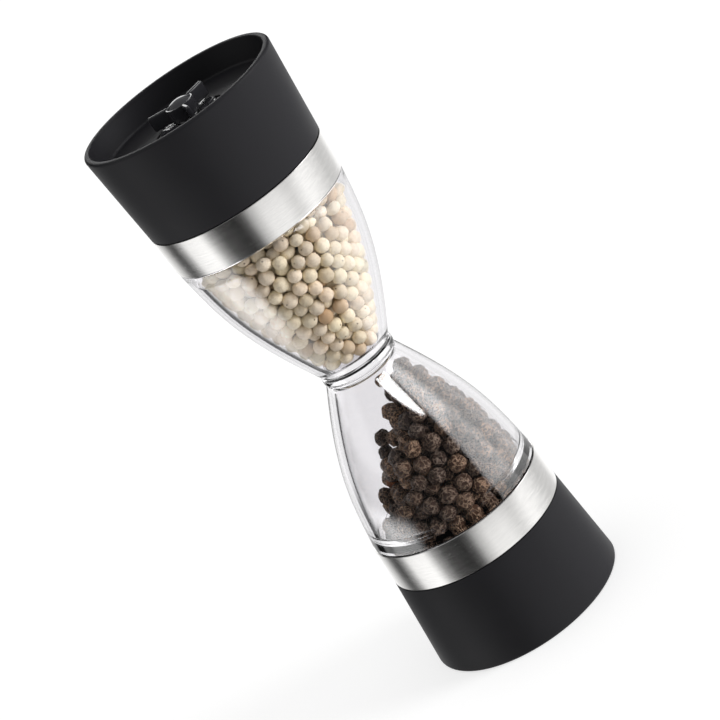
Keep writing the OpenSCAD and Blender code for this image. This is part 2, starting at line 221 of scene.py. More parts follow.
class Nodes:
    """Short ways to add nodes to a tree and to link them."""

    def __init__(self, tree):
        self.tree = tree

    def node(self, kind, **settings):
        """A shader node, named without the start that all kinds share."""
        made = self.tree.nodes.new("ShaderNode" + kind)
        for key, value in settings.items():
            setattr(made, key, value)
        return made

    def link(self, source, target):
        self.tree.links.new(source, target)

    def feed(self, value, socket):
        """Give a socket a number, a colour or a link."""
        if isinstance(value, (int, float)):
            socket.default_value = value
        elif hasattr(value, "__len__"):
            socket.default_value = (*value, 1.0)
        else:
            self.link(value, socket)

    def math(self, operation, *values):
        made = self.node("Math", operation=operation)
        for socket, value in zip(made.inputs, values):
            self.feed(value, socket)
        return made.outputs["Value"]

    def ramp(self, factor, *stops):
        """Colour ramp with (place, colour or level) stops."""
        made = self.node("ValToRGB")
        elements = made.color_ramp.elements
        while len(elements) < len(stops):
            elements.new(0.5)
        for element, (where, value) in zip(elements, stops):
            element.position = where
            element.color = (*value, 1.0) if hasattr(value, "__len__") else (value,) * 3 + (1.0,)
        self.link(factor, made.inputs["Fac"])
        return made.outputs["Color"]

    def spread(self, factor, low, high, start=0.3, end=0.7, kind="LINEAR"):
        """A value that runs from low to high as the factor runs from start to end."""
        made = self.node("MapRange", interpolation_type=kind)
        places = {"From Min": start, "From Max": end, "To Min": low, "To Max": high}
        for name, value in places.items():
            made.inputs[name].default_value = value
        self.link(factor, made.inputs["Value"])
        return made.outputs["Result"]


class Finish(Nodes):
    """A node material round one Principled shader."""

    def __init__(self, name):
        self.material = bpy.data.materials.new(name)
        self.material.use_nodes = True
        super().__init__(self.material.node_tree)
        self.shader = self.tree.nodes["Principled BSDF"]
        self.output = self.tree.nodes["Material Output"]

    def set(self, **values):
        for key, value in values.items():
            self.feed(value, self.shader.inputs[key.replace("_", " ")])

    def place(self, scale=(1.0, 1.0, 1.0)):
        """Object coordinates, stretched."""
        where = self.node("TexCoord")
        mapping = self.node("Mapping")
        mapping.inputs["Scale"].default_value = scale
        self.link(where.outputs["Object"], mapping.inputs["Vector"])
        return mapping.outputs["Vector"]

    def noise(self, where, scale, detail=3.0, roughness=0.55, output="Fac"):
        made = self.node("TexNoise")
        self.link(where, made.inputs["Vector"])
        made.inputs["Scale"].default_value = scale
        made.inputs["Detail"].default_value = detail
        made.inputs["Roughness"].default_value = roughness
        return made.outputs[output]

    def shifted(self, start, by, share):
        """A vector with a share of another added to it."""
        made = self.node("VectorMath", operation="MULTIPLY_ADD")
        made.inputs[1].default_value = share
        self.link(by, made.inputs[0])
        self.link(start, made.inputs[2])
        return made.outputs["Vector"]

    def mix(self, factor, first, second, blend="MIX"):
        made = self.node("Mix", data_type="RGBA", blend_type=blend)
        for socket, value in (("Factor", factor), ("A", first), ("B", second)):
            self.feed(value, [s for s in made.inputs if s.name == socket and s.enabled][0])
        return [s for s in made.outputs if s.enabled][0]

    def paint(self, colour):
        self.link(colour, self.shader.inputs["Base Color"])

    def coat(self, factor, dark, light, smooth, rough, start=0.3, end=0.7):
        """Colour and roughness that wander with one factor."""
        self.paint(self.ramp(factor, (start, dark), (end, light)))
        self.link(self.spread(factor, smooth, rough), self.shader.inputs["Roughness"])

    def bump(self, height, strength, distance):
        made = self.node("Bump")
        made.inputs["Strength"].default_value = strength
        made.inputs["Distance"].default_value = distance
        self.link(height, made.inputs["Height"])
        self.link(made.outputs["Normal"], self.shader.inputs["Normal"])


def shaded(base, share):
    return tuple(channel * share for channel in base)


def soft_touch(base):
    """Rubbery black lacquer: matte, with a fine even grain."""
    f = Finish("soft_touch_black")
    where = f.place()
    grain = f.noise(where, 5200.0, detail=2.0)
    cloud = f.noise(where, 55.0, detail=4.0)
    f.coat(cloud, shaded(base, 0.9), shaded(base, 1.12), 0.50, 0.58)
    f.set(Specular_IOR_Level=0.26)
    f.bump(grain, 0.16, 0.00005)
    return f.material


def satin_plastic(name, base, low, high, grain_scale=2600.0, grain=0.1):
    """Moulded plastic with a roughness that wanders a little."""
    f = Finish(name)
    where = f.place()
    cloud = f.noise(where, 120.0, detail=4.0)
    fine = f.noise(where, grain_scale, detail=2.0)
    f.coat(cloud, shaded(base, 0.85), shaded(base, 1.2), low, high)
    f.bump(fine, grain, 0.00004)
    return f.material


def brushed_steel(base):
    """Steel brushed round the axis: fine rings and short scratches that draw highlights out."""
    f = Finish("brushed_steel")
    rings = f.noise(f.place((55.0, 55.0, 5200.0)), 1.0, detail=5.0, roughness=0.7)
    scratches = f.noise(f.place((210.0, 210.0, 2300.0)), 1.0, roughness=0.75)
    both = f.math("MULTIPLY_ADD", scratches, 0.6, f.math("MULTIPLY", rings, 0.4))
    f.coat(both, shaded(base, 0.90), shaded(base, 1.06), 0.15, 0.29, start=0.36, end=0.64)
    f.set(Metallic=1.0, Anisotropic=0.8, Anisotropic_Rotation=0.25)
    tangent = f.node("Tangent", direction_type="RADIAL", axis="Z")
    f.link(tangent.outputs["Tangent"], f.shader.inputs["Tangent"])
    f.bump(both, 0.18, 0.00005)
    return f.material


def plain_steel():
    """Turned steel of screws, washers and springs."""
    f = Finish("plain_steel")
    marks = f.noise(f.place((300.0, 300.0, 2600.0)), 1.0)
    f.coat(marks, (0.46, 0.46, 0.47), (0.62, 0.62, 0.62), 0.22, 0.36)
    f.set(Metallic=1.0)
    f.bump(marks, 0.08, 0.00005)
    return f.material


def clear_acrylic(tint):
    """Polished clear plastic with a faint flow in its surface; lamps shine through it."""
    f = Finish("clear_acrylic")
    flow = f.noise(f.place(), 60.0, detail=1.0)
    f.paint(f.ramp(flow, (0.3, shaded(tint, 0.995)), (0.7, tint)))
    f.set(Roughness=0.0, IOR=1.49, Transmission_Weight=1.0)
    f.bump(flow, 0.02, 0.0003)
    passing = f.node("BsdfTransparent")
    f.feed(shaded(tint, 0.97), passing.inputs["Color"])
    path = f.node("LightPath")
    either = f.node("MixShader")
    f.link(path.outputs["Is Shadow Ray"], either.inputs["Fac"])
    f.link(f.shader.outputs["BSDF"], either.inputs[1])
    f.link(passing.outputs["BSDF"], either.inputs[2])
    f.link(either.outputs["Shader"], f.output.inputs["Surface"])
    return f.material


def silicone(base):
    """Milky rubber of the seals."""
    f = Finish("silicone")
    cloud = f.noise(f.place(), 300.0, detail=2.0)
    f.coat(cloud, shaded(base, 0.94), base, 0.45, 0.55)
    f.set(Subsurface_Weight=0.2, Subsurface_Scale=0.001)
    return f.material


def corn_places(f):
    """A corn's own directions, the same shifted from corn to corn, and the corn's tone."""
    own = f.node("Attribute", attribute_name="own").outputs["Vector"]
    tone = f.node("Attribute", attribute_name="tone").outputs["Fac"]
    return own, f.shifted(own, tone, (37.0, 53.0, 71.0)), tone


def white_pepper(pale, tan):
    """Dry pale skin that differs from corn to corn, with a small dark eye at one pole."""
    f = Finish("white_pepper")
    own, place, tone = corn_places(f)
    skin = f.noise(place, 2.2, detail=5.0, roughness=0.62)
    base = f.ramp(tone, (0.0, tan), (0.14, shaded(pale, 0.82)), (0.6, pale),
                  (1.0, shaded(pale, 1.12)))
    hue = f.ramp(f.math("FRACT", f.math("MULTIPLY", tone, 7.0)), (0.0, (1.0, 0.96, 0.94)),
                 (0.5, (1.0, 1.0, 1.0)), (1.0, (0.98, 1.0, 0.92)))
    tinted = f.mix(1.0, base, hue, "MULTIPLY")
    mottled = f.mix(f.spread(skin, 0.0, 0.42, 0.45, 0.75), tinted, shaded(tan, 0.85))
    axis = f.node("SeparateXYZ")
    f.link(own, axis.inputs["Vector"])
    eye = f.spread(axis.outputs["Z"], 0.0, 1.0, 0.955, 0.985)
    f.paint(f.mix(eye, mottled, shaded(tan, 0.22)))
    f.link(f.spread(skin, 0.62, 0.78), f.shader.inputs["Roughness"])
    f.set(Specular_IOR_Level=0.3)
    f.bump(f.math("SUBTRACT", skin, f.math("MULTIPLY", eye, 0.7)), 0.55, 0.00045)
    return f.material


def black_pepper(crest, fold, red):
    """Dark wrinkled skin: thin paler crests wander over a near-black ground; the crests' paleness
    is partly the skin's own colour and partly a painted highlight on the raised crests.
    """
    f = Finish("black_pepper")
    _, place, tone = corn_places(f)
    warp = f.noise(place, 1.6, roughness=0.5, output="Color")
    net = f.node("TexVoronoi", feature="DISTANCE_TO_EDGE")
    f.link(f.shifted(place, warp, (1.3, 1.3, 1.3)), net.inputs["Vector"])
    net.inputs["Scale"].default_value = 1.5
    crests = f.spread(net.outputs["Distance"], 1.0, 0.0, 0.0, 0.14)
    grit = f.noise(place, 6.0, detail=4.0, roughness=0.65)
    # Painted highlight: the raised crests take the pale crest colour, partly the skin's own paler
    # ridges and partly light that they catch; the grit breaks them up.
    pale_lit_crests = f.math("MULTIPLY", crests, f.spread(grit, 0.55, 1.0, 0.35, 0.62))
    hue = f.ramp(tone, (0.0, (0.60, 0.64, 0.70)), (0.45, (0.90, 0.86, 0.84)),
                 (1.0, (1.40, 1.26, 1.12)))
    toned = f.mix(1.0, f.mix(pale_lit_crests, fold, crest), hue, "MULTIPLY")
    ripe = f.spread(tone, 0.0, 0.85, 0.955, 0.958)
    f.paint(f.mix(ripe, toned, red))
    f.link(f.spread(grit, 0.36, 0.60), f.shader.inputs["Roughness"])
    f.set(Specular_IOR_Level=0.5)
    f.bump(f.math("MULTIPLY_ADD", grit, 0.45, f.math("MULTIPLY", crests, 0.8)), 1.0, 0.0013)
    return f.material


FLOOR_GLOW = 0.62
FLOOR_SIZE = 20.0


def stage_floor():
    """Pale floor with a glow like that of a lit table; it keeps the mill's shadow."""
    f = Finish("pale_floor")
    f.paint(f.ramp(f.noise(f.place(), 4.0, detail=2.0), (0.3, 0.49), (0.7, 0.51)))
    f.set(Roughness=0.9, Specular_IOR_Level=0.0, Emission_Color=(1.0, 1.0, 1.0),
          Emission_Strength=FLOOR_GLOW)
    return f.material


# ---- Clear bells and waist ring ----

BELL_STEPS = 44
BELL_LEAVE = math.radians(27.7)
BELL_ARRIVE = math.radians(7.7)
LEAVE_PULL = 0.55
ARRIVE_PULL = 0.32
SHOULDER_GAP = 0.3 * MM
FOOT_FLARE = 0.1 * MM
FOOT_STEP = 0.4 * MM
RING_EDGE = 0.6 * MM
FLOOR_CORNER = 1.8 * MM
WALL_END = 0.9  # share of the outer curve that the wall follows inside
CURVE_STEP = 0.01
RIDGE_WIDTH = 1.1 * MM
RIDGE_HEIGHT = 0.7 * MM
RIDGE_SINK = 0.2 * MM
RIDGE_TURNS = 1.0
RIDGE_STEPS = 72
NECK_PITCH = 4.0 * MM
NECK_END = 1.2 * MM


def leaning(angle):
    """Direction that leans outwards from the axis by an angle."""
    return Vector((math.sin(angle), math.cos(angle)))


class BellShape:
    """Outer curve of a bell and the wall inside it, as heights above the waist plane."""

    def __init__(self, sizes):
        self.sizes = sizes
        self.foot_top = sizes.ring_height / 2 + sizes.foot_height
        self.floor = sizes.ring_height / 2 + sizes.bell_floor
        self.neck_top = local_height("upper_bell", 1)
        self.shoulder = local_height("upper_steel_band", 0) - SHOULDER_GAP
        start = Vector((sizes.ring_radius + FOOT_FLARE, self.foot_top))
        end = Vector((sizes.shoulder_radius, self.shoulder))
        span = end.y - start.y
        self.pull = (start, start + span * LEAVE_PULL * leaning(BELL_LEAVE),
                     end - span * ARRIVE_PULL * leaning(BELL_ARRIVE), end)

    def point(self, t):
        a, b, c, d = self.pull
        return a * (1 - t) ** 3 + b * 3 * t * (1 - t) ** 2 + c * 3 * t * t * (1 - t) + d * t ** 3

    def inside(self, t, depth):
        run = self.point(min(t + CURVE_STEP, 1.0)) - self.point(max(t - CURVE_STEP, 0.0))
        return self.point(t) + Vector((-run.y, run.x)).normalized() * depth

    def wall(self, depth, floor):
        """Inner wall at a depth inside the outer curve, from a rounded floor corner upwards."""
        points = [self.inside(WALL_END * i / BELL_STEPS, depth) for i in range(BELL_STEPS + 1)]
        points = [p for p in points if p.y > floor + FLOOR_CORNER]
        turn = math.pi / 2 - BELL_LEAVE
        corner_top = floor + FLOOR_CORNER * (1 - math.cos(turn))
        corner_end = points[0].x - (points[0].y - corner_top) * math.tan(BELL_LEAVE)
        angles = [turn * i / CORNER_STEPS for i in range(CORNER_STEPS + 1)]
        arc = [Vector((corner_end - FLOOR_CORNER * (math.sin(turn) - math.sin(angle)),
                       floor + FLOOR_CORNER * (1 - math.cos(angle)))) for angle in angles]
        return arc + points


def neck_ridge(bm, bell, side):
    """Helical thread ridge on one neck, half sunk into it."""
    low = bell.neck_top - NECK_END - NECK_PITCH * RIDGE_TURNS
    root = bell.sizes.neck_radius - RIDGE_SINK
    crest = bell.sizes.neck_radius + RIDGE_HEIGHT
    section = [(root, -0.5), (crest, -0.25), (crest, 0.25), (root, 0.5)]
    ring = [bm.verts.new((r, 0.0, low + share * RIDGE_WIDTH)) for r, share in section]
    face = bm.faces.new(ring)
    known = set(bm.verts) - set(ring)
    bmesh.ops.spin(bm, geom=[face] + list(face.edges) + ring, axis=(0, 0, 1),
                   dvec=(0, 0, NECK_PITCH * RIDGE_TURNS / RIDGE_STEPS),
                   angle=2 * math.pi * RIDGE_TURNS, steps=RIDGE_STEPS, use_merge=False)
    if side == "lower":
        bmesh.ops.rotate(bm, cent=(0, 0, 0), matrix=Matrix.Rotation(math.pi, 3, "X"),
                         verts=[v for v in bm.verts if v not in known])


class MILL_OT_clear_bells(bpy.types.Operator):
    """Turn the two clear bells and the ring that they are bonded to"""

    bl_idname = "mill.clear_bells"
    bl_label = "Clear bells"

    def execute(self, context):
        sizes = context.scene.mill_sizes
        bell = BellShape(sizes)
        half_ring = sizes.ring_height / 2
        foot = sizes.ring_radius - FOOT_STEP
        bore = sizes.neck_radius - sizes.neck_wall
        curve = [bell.point(i / BELL_STEPS) for i in range(BELL_STEPS)]
        outside = (
            [(sizes.ring_radius, half_ring - RING_EDGE, 0.4 * MM),
             (sizes.ring_radius - RING_EDGE, half_ring, 0.2 * MM), (foot, half_ring, 0.15 * MM),
             (foot, bell.foot_top - 0.5 * sizes.foot_height, 0.2 * MM)]
            + curve
            + [(sizes.shoulder_radius, bell.shoulder, 0.25 * MM),
               (sizes.neck_radius, bell.shoulder, 0.2 * MM),
               (sizes.neck_radius, bell.neck_top, 0.4 * MM)])
        inside = ([(bore, bell.neck_top, 0.4 * MM), (bore, bell.shoulder + 0.5 * MM, 1.5 * MM)]
                  + bell.wall(sizes.bell_wall, bell.floor)[::-1] + [(0.0, bell.floor)])
        upper = outside + inside
        lower = [(r, -z, *rounding) for r, z, *rounding in reversed(upper)]
        bm = turned(rounded(lower + upper), loop=False)
        for side in SIDES:
            neck_ridge(bm, bell, side)
        bmesh.ops.recalc_face_normals(bm, faces=bm.faces)
        material = clear_acrylic(context.scene.mill_colours.clear)
        finished(bm, "clear_bells", "upper", material, "bells",
                 ["upper_bell", "waist_ring", "lower_bell"])
        return {"FINISHED"}


# ---- Cups and steel bands ----

RIM_RADIUS = 31.3 * MM
BURR_SEAT = 0.05 * MM  # play round the outer burr and above the clip
OUTLET_LAP = 1.95 * MM  # how far the outlet's floor reaches over the outer burr
SLEEVE_WALL = 1.75 * MM
CLIP_RIB = 1.2 * MM
CLIP_RIB_RADIUS = 23.8 * MM


class MILL_OT_cups(bpy.types.Operator):
    """Turn the two black cups with their lips, outlet floors and sleeves"""

    bl_idname = "mill.cups"
    bl_label = "Cups"

    def execute(self, context):
        sizes = context.scene.mill_sizes
        material = soft_touch(context.scene.mill_colours.soft_black)
        rim = HALF
        start = local_height("upper_cup", 0)
        low_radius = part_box("upper_steel_band")[1][0]
        burr_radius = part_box("upper_ring_burr")[1][0] + BURR_SEAT
        burr_low = local_height("upper_ring_burr", 0)
        outlet = burr_radius - OUTLET_LAP
        floor = rim - sizes.outlet_depth
        under = floor - sizes.outlet_floor
        sleeve = burr_radius + SLEEVE_WALL
        clip_top = local_height("upper_cup_clip", 1) + BURR_SEAT
        rib_top = clip_top + CLIP_RIB

        def outside(z):
            return low_radius + (RIM_RADIUS - low_radius) * (z - start) / (rim - start)

        def skirt(z):
            return outside(z) - sizes.cup_wall

        outline = rounded([
            (skirt(start), start, 0.15 * MM), (outside(start), start, 0.2 * MM),
            (outside(rim), rim, sizes.lip_round), (skirt(rim), rim, 0.45 * MM),
            (skirt(floor), floor, 0.9 * MM), (outlet, floor, 0.25 * MM), (outlet, under),
            (burr_radius, under), (burr_radius, burr_low), (sleeve, burr_low, 0.3 * MM),
            (sleeve, under, 0.5 * MM), (skirt(under), under, 0.5 * MM),
            (skirt(rib_top), rib_top), (CLIP_RIB_RADIUS, rib_top, 0.1 * MM),
            (CLIP_RIB_RADIUS, clip_top), (skirt(clip_top), clip_top)])
        for side in SIDES:
            finished(turned(outline), f"{side}_soft_cup", side, material, f"{side}_turning_cup",
                     [f"{side}_cup"])
        return {"FINISHED"}


BAND_STEP = 0.25 * MM  # how far the band stands out from the bell beside it
BAND_EASE = 0.16 * MM


class MILL_OT_steel_bands(bpy.types.Operator):
    """Turn the two brushed steel bands with their eased edges"""

    bl_idname = "mill.steel_bands"
    bl_label = "Steel bands"

    def execute(self, context):
        sizes = context.scene.mill_sizes
        material = brushed_steel(context.scene.mill_colours.steel)
        low, high = (local_height("upper_steel_band", end) for end in (0, 1))
        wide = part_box("upper_steel_band")[1][0]
        narrow = sizes.shoulder_radius + BAND_STEP
        outline = rounded([
            (narrow - sizes.band_wall, low, 0.05 * MM), (narrow, low, BAND_EASE),
            (wide, high, BAND_EASE), (wide - sizes.band_wall, high, 0.05 * MM)])
        for side in SIDES:
            finished(turned(outline), f"{side}_band", side, material, f"{side}_head",
                     [f"{side}_steel_band"])
        return {"FINISHED"}


# ---- Knobs and burrs ----

WINGS = 3
WING_ANGLE = math.radians(37)
WING_ROOT = 0.8 * MM  # how far a wing starts inside the hub
WING_EASE = 0.42  # rounding of a wing's edges, as a share of its thickness
DOME_RISE = 1.3 * MM
DOME_LEDGE = 0.45 * MM
DOME_STEPS = 10
HUB_STEPS = 64
HUB_BORE = 2.05 * MM
BORE_END = 0.9 * MM  # end of the bore, below the top of the dome


class MILL_OT_knobs(bpy.types.Operator):
    """Shape the two domed adjusting knobs and their wings"""

    bl_idname = "mill.knobs"
    bl_label = "Adjusting knobs"

    def execute(self, context):
        sizes = context.scene.mill_sizes
        material = satin_plastic("gloss_black", context.scene.mill_colours.gloss_black, 0.07, 0.15,
                                 grain_scale=900.0, grain=0.05)
        low = local_height("upper_thrust_washer", 1)
        top = local_height("upper_adjuster_knob", 1)
        bore_top = top - BORE_END
        radius = sizes.knob_width / 2
        shoulder = top - DOME_RISE
        dome_radius = radius - DOME_LEDGE
        dome = (dome_radius ** 2 + DOME_RISE ** 2) / (2 * DOME_RISE)
        reach = math.asin(dome_radius / dome)
        angles = [reach * (1 - i / DOME_STEPS) for i in range(1, DOME_STEPS + 1)]
        arc = [(dome * math.sin(a), top - dome * (1 - math.cos(a))) for a in angles]
        outline = rounded([
            (0.0, bore_top), (HUB_BORE, bore_top), (HUB_BORE, low),
            (radius, low, 0.2 * MM), (radius, shoulder, 0.2 * MM),
            (dome_radius, shoulder, 0.08 * MM)] + arc)
        wing_low = local_height("upper_adjuster_knob", 0)
        wing_top = top - sizes.wing_drop
        for side in SIDES:
            bm = turned(outline, steps=HUB_STEPS, loop=False)
            for i in range(WINGS):
                self.add_wing(bm, sizes, radius, wing_low, wing_top, i)
            finished(bm, f"{side}_winged_knob", side, material, f"{side}_knob",
                     [f"{side}_adjuster_knob"])
        return {"FINISHED"}

    def add_wing(self, bm, sizes, hub_radius, low, top, index):
        """One upright blade from the hub outwards, with eased edges and a round tip."""
        inner = hub_radius - WING_ROOT
        middle = (inner + sizes.wing_reach) / 2
        size = (sizes.wing_reach - inner, sizes.wing_width, top - low)
        place = (Matrix.Rotation(WING_ANGLE + 2 * math.pi * index / WINGS, 4, "Z")
                 @ Matrix.Translation((middle, 0, (low + top) / 2))
                 @ Matrix.Diagonal((*size, 1.0)))
        made = bmesh.ops.create_cube(bm, size=1.0, matrix=place)
        edges = list({e for v in made["verts"] for e in v.link_edges})
        bmesh.ops.bevel(bm, geom=edges, offset=WING_EASE * sizes.wing_width, segments=4,
                        profile=0.5, affect="EDGES", material=-1, clamp_overlap=True)


INNER_TEETH = 12
INNER_RADIUS = 9.6 * MM
INNER_GROOVE = 1.3 * MM
OUTER_TEETH = 18
OUTER_GROOVE = 0.8 * MM
TOOTH_STEPS = 8  # points round one tooth and its groove
GROOVE_STEPS = 3  # points of those that lie in the groove
SPINDLE_BORE = 2.06 * MM
SPRING_SEAT = (4.05 * MM, 2.6 * MM)


def cut_grooves(bm, teeth, depth, chosen):
    """Move the chosen points of a turned burr by a depth in every groove between its teeth."""
    pitch = 2 * math.pi / teeth
    for v in bm.verts:
        radius = math.hypot(v.co.x, v.co.y)
        if not chosen(radius, v.co.z):
            continue
        step = round((math.atan2(v.co.y, v.co.x) % pitch) / pitch * TOOTH_STEPS) % TOOTH_STEPS
        if step < GROOVE_STEPS:
            share = (radius + depth) / radius
            v.co.x *= share
            v.co.y *= share


class MILL_OT_burrs(bpy.types.Operator):
    """Shape the inner cone burrs and the outer ring burrs with their teeth"""

    bl_idname = "mill.burrs"
    bl_label = "Burrs"

    def execute(self, context):
        material = satin_plastic("burr_black", context.scene.mill_colours.gloss_black, 0.10, 0.24,
                                 grain_scale=1500.0, grain=0.12)
        for side in SIDES:
            finished(self.inner_burr(), f"{side}_inner_cone_burr", side, material, f"{side}_burr",
                     [f"{side}_male_burr"])
            finished(self.outer_burr(), f"{side}_outer_ring_burr", side, material,
                     f"{side}_turning_cup", [f"{side}_ring_burr"])
        return {"FINISHED"}

    def inner_burr(self):
        low, top = (local_height("upper_male_burr", end) for end in (0, 1))
        wide = INNER_RADIUS
        waist = top - 7.9 * MM
        seat, seat_depth = SPRING_SEAT
        outline = rounded([
            (SPINDLE_BORE, low + seat_depth), (seat, low + seat_depth),
            (seat, low), (wide - 4 * MM, low, 0.2 * MM), (wide - 1.25 * MM, waist),
            (wide - 0.5 * MM, top - 3.2 * MM), (wide, top - 0.25 * MM, 0.2 * MM),
            (wide - 0.45 * MM, top, 0.2 * MM), (wide - 1.5 * MM, top),
            (wide - 3.1 * MM, top - 0.25 * MM, 0.3 * MM), (4.2 * MM, top, 0.2 * MM),
            (SPINDLE_BORE, top)])
        bm = turned(outline, steps=INNER_TEETH * TOOTH_STEPS)
        cut_grooves(bm, INNER_TEETH, -INNER_GROOVE,
                    lambda r, z: r > 8.0 * MM and z > waist - 0.1 * MM)
        return bm

    def outer_burr(self):
        low, top = (local_height("upper_ring_burr", end) for end in (0, 1))
        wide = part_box("upper_ring_burr")[1][0]
        neck = wide - 2.1 * MM
        under = top - 1.65 * MM
        feed = low + 6.9 * MM
        outline = rounded([
            (wide - 1.3 * MM, low, 0.1 * MM), (wide, low, 0.2 * MM), (wide, under),
            (neck, under), (neck, top, 0.15 * MM), (9.8 * MM, top, 0.15 * MM),
            (8.7 * MM, feed)])
        bm = turned(outline, steps=OUTER_TEETH * TOOTH_STEPS)
        cut_grooves(bm, OUTER_TEETH, OUTER_GROOVE,
                    lambda r, z: r < 10.4 * MM and z > feed - 0.1 * MM)
        return bm


# ---- Peppercorns ----

# Corns settle as balls that start small and grow; pairs are looked up again every few steps
SETTLE_STEPS = 420
GROW_STEPS = 240
START_SHARE = 0.55
PAIR_STEPS = 10
PAIR_REACH = 2.7
PUSHES = 2
PUSH_SHARE = 0.8
LATE_PULL = 0.35
START_INSET = 1.5 * MM
CORN_GAP = 0.12 * MM
NECK_INSET = 2.2 * MM
LUMP_SCALE = 1.7
# Slope of the heap, and a point of its surface: distance from the axis and height above the floor
HEAP_SLOPE = math.radians(35)
HEAP_TOP = (8.0 * MM, 4.5 * MM)
HEAP_INSET = 0.3
HEAP_TRIES = 4000


class Chamber:
    """Inside of a bell, as seen by corns: its wall, its floor and the lid of its fill."""

    def __init__(self, bell, node):
        self.floor = bell.floor + CORN_GAP
        wall = bell.wall(bell.sizes.bell_wall + CORN_GAP, self.floor)
        self.lid = max(abs(local_height(node, end)) for end in (0, 1))
        neck = bell.sizes.neck_radius - NECK_INSET
        points = np.array([tuple(p) for p in wall] + [(neck, bell.shoulder), (neck, 1.0)])
        run = np.gradient(points, axis=0)
        run /= np.linalg.norm(run, axis=1)[:, None]
        self.heights = points[:, 1]
        self.radii = points[:, 0]
        self.cosines = run[:, 1]
        self.sines = run[:, 0]

    def room(self):
        """Volume under the lid."""
        heights = np.linspace(self.floor, self.lid, 200)
        radii = np.interp(heights, self.heights, self.radii)
        return math.pi * np.mean(radii ** 2) * (self.lid - self.floor)

    def keep_inside(self, balls, sizes):
        """Push balls that cross the wall, the floor or the lid back inside."""
        away = np.hypot(balls[:, 0], balls[:, 1]) + 1e-12
        cosine = np.interp(balls[:, 2], self.heights, self.cosines)
        sine = np.interp(balls[:, 2], self.heights, self.sines)
        depth = sizes - (np.interp(balls[:, 2], self.heights, self.radii) - away) * cosine
        depth = np.maximum(depth, 0.0)
        balls[:, :2] -= balls[:, :2] / away[:, None] * (depth * cosine)[:, None]
        balls[:, 2] += depth * sine
        balls[:, 2] = np.clip(balls[:, 2], self.floor + sizes, self.lid - sizes)


def near_pairs(balls, reach):
    """Pairs of balls whose centres lie within a reach of each other."""
    gaps = balls[:, None, :] - balls[None, :, :]
    return np.nonzero(np.triu((gaps ** 2).sum(axis=2) < reach ** 2, 1))


def settle(chamber, balls, sizes, pull):
    """Grow balls to their size while they push each other apart and drift along the pull."""
    for step in range(SETTLE_STEPS):
        if step % PAIR_STEPS == 0:
            first, second = near_pairs(balls, PAIR_REACH * sizes.max())
        share = min(1.0, START_SHARE + (1 - START_SHARE) * step / GROW_STEPS)
        now = sizes * share
        balls += pull * (1.0 if step < GROW_STEPS else LATE_PULL)
        for _ in range(PUSHES):
            gaps = balls[first] - balls[second]
            apart = np.linalg.norm(gaps, axis=1) + 1e-9
            overlap = np.maximum(now[first] + now[second] - apart, 0.0)
            push = gaps * (overlap / apart)[:, None]
            shift = np.zeros_like(balls)
            np.add.at(shift, first, push)
            np.add.at(shift, second, -push)
            touching = (np.bincount(first, overlap > 0, len(balls))
                        + np.bincount(second, overlap > 0, len(balls)))
            balls += shift * (PUSH_SHARE / np.sqrt(np.maximum(touching, 1)))[:, None]
            chamber.keep_inside(balls, now)
    return balls


def anywhere(x, y, z):
    return True


def spread_balls(rng, chamber, count, chosen):
    """Random places inside a chamber that a test accepts."""
    found = []
    widest = chamber.radii.max()
    while len(found) < count:
        x, y = rng.uniform(-widest, widest, 2)
        z = rng.uniform(chamber.floor, chamber.lid)
        room = np.interp(z, chamber.heights, chamber.radii) - START_INSET
        if math.hypot(x, y) < room and chosen(x, y, z):
            found.append((x, y, z))
    return np.array(found)


def settled(corns, chamber, rng, radius, share, chosen, pull):
    """Places and sizes of the corns that fill a share of a chamber."""
    count = int(corns.packing * chamber.room() * share / (4 / 3 * math.pi * radius ** 3))
    sizes = radius * (1 + corns.size_spread * rng.uniform(-1, 1, count))
    return settle(chamber, spread_balls(rng, chamber, count, chosen), sizes, pull), sizes


def corn_piece(name, side, balls, sizes, rng, lumps, squeeze, material, node):
    """One object of many corns; each keeps its own directions and tone as attributes."""
    bm = bmesh.new()
    own = bm.verts.layers.float_vector.new("own")
    tone = bm.verts.layers.float.new("tone")
    for centre, radius in zip(balls, sizes):
        turn = Euler(rng.uniform(0, 2 * math.pi, 3)).to_matrix().to_4x4()
        stretch = 1.0 + rng.uniform(-squeeze, squeeze, 3)
        shade = rng.random()
        offset = Vector(rng.uniform(0, 50, 3))
        made = bmesh.ops.create_icosphere(bm, subdivisions=2, radius=1.0)
        for v in made["verts"]:
            direction = v.co.copy()
            lump = 1.0 + lumps * noise.noise(direction * LUMP_SCALE + offset)
            v[own] = direction
            v[tone] = shade
            shaped = Vector((direction.x * stretch[0], direction.y * stretch[1],
                             direction.z * stretch[2])) * (lump * radius)
            v.co = turn @ shaped + Vector(centre)
    return finished(bm, name, side, material, "bells", [node])


class MILL_OT_white_corns(bpy.types.Operator):
    """Fill the upper bell with white peppercorns"""

    bl_idname = "mill.white_corns"
    bl_label = "White peppercorns"

    def execute(self, context):
        corns = context.scene.mill_corns
        colours = context.scene.mill_colours
        chamber = Chamber(BellShape(context.scene.mill_sizes), "white_peppercorns")
        rng = np.random.default_rng(corns.seed)
        balls, sizes = settled(corns, chamber, rng, corns.white_size / 2, 1.0, anywhere,
                               np.array([0.0, 0.0, -0.02 * MM]))
        material = white_pepper(colours.white_corn, colours.tan_corn)
        corn_piece("white_pepper_fill", "upper", balls, sizes, rng, 0.05, 0.03, material,
                   "white_peppercorns")
        return {"FINISHED"}


